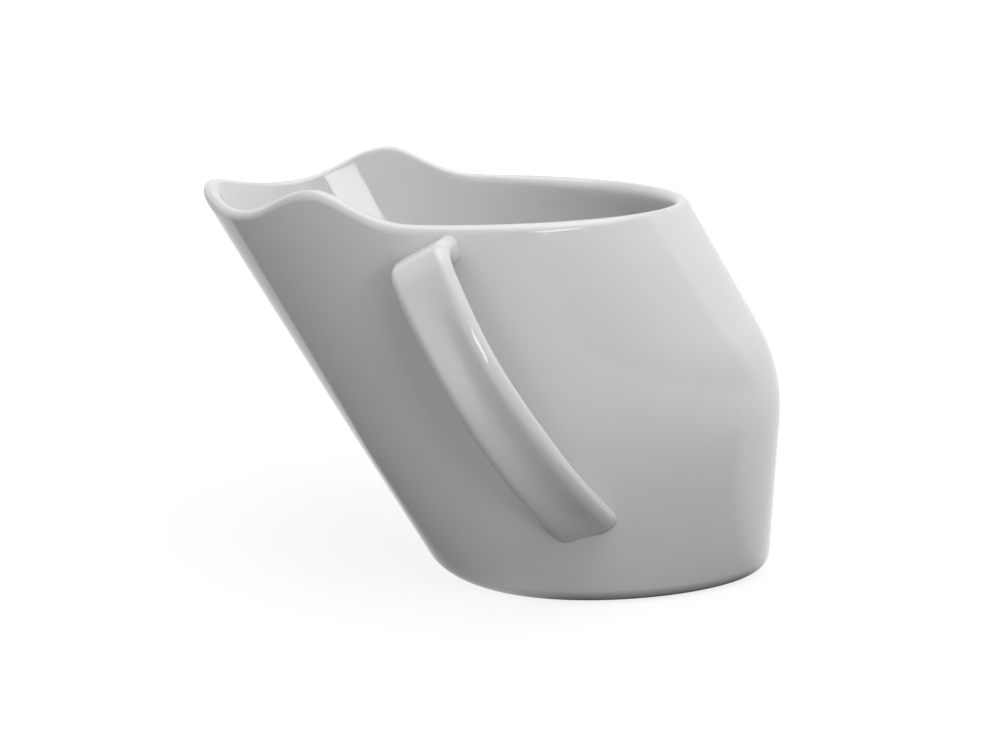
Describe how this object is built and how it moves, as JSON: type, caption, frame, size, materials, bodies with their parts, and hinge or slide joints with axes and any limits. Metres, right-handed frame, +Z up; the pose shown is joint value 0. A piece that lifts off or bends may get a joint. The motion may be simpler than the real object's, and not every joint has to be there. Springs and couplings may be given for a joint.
{
  "type": "slanted baby cup",
  "caption": "Open training cup for a baby: a shell leaning forward from an oval base, with a wavy rim, a drinking lip and a strap handle on each side",
  "frame": {"origin": "middle of the flat base, on the table", "axes": "+X points to the upright back, -X to the drinking lip, Y runs across the handles, +Z is up"},
  "size_m": [0.1253, 0.0972, 0.084],
  "materials": {
    "cup_plastic": "smooth glossy moulded plastic, light grey in a greyscale photo",
    "handle_plastic": "the same smooth glossy moulded plastic as the cup"
  },
  "bodies": {
    "root": {"cup_body": "cup_plastic", "handle_right": "handle_plastic", "handle_left": "handle_plastic"}
  },
  "joints": []
}
